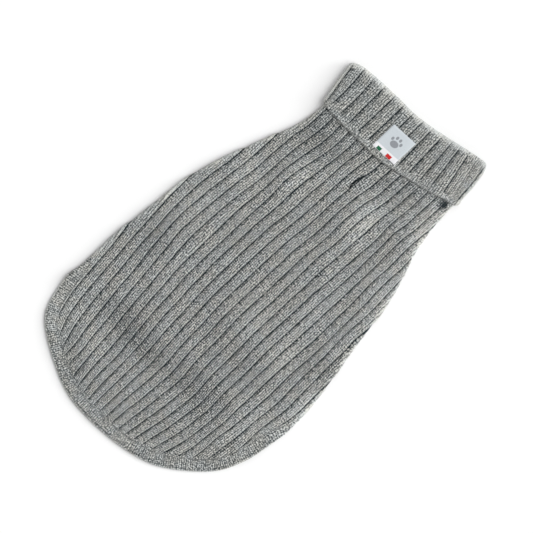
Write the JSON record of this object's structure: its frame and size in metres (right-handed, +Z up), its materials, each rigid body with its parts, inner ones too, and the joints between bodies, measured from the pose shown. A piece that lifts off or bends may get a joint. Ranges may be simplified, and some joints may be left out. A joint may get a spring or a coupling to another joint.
{
  "type": "dog coat",
  "caption": "Ribbed knit pull-on dog coat with a turned-down collar, a long rounded tail, a short belly panel, leg holes and a leash slit, laid flat.",
  "frame": {"origin": "under the middle of the laid coat, on the surface that it lies on", "axes": "+Y along the back towards the collar, +X to the right as seen from above, +Z up, out of the back"},
  "size_m": [0.2753, 0.4754, 0.0114],
  "materials": {
    "rib_knit": "mid grey melange wool blend in a wide rib, slightly hairy, fully matt",
    "plain_knit": "the same yarn in a doubled plain knit, fully matt",
    "woven_label": "off-white woven label tape, slightly glossy, with a small flag strip"
  },
  "bodies": {
    "root": {"back_panel": "rib_knit", "belly_panel": "rib_knit", "collar": "rib_knit", "back_hem_band": "plain_knit", "belly_hem_band": "plain_knit", "leg_cuff_left": "plain_knit", "leg_cuff_right": "plain_knit", "label": "woven_label"}
  },
  "joints": []
}
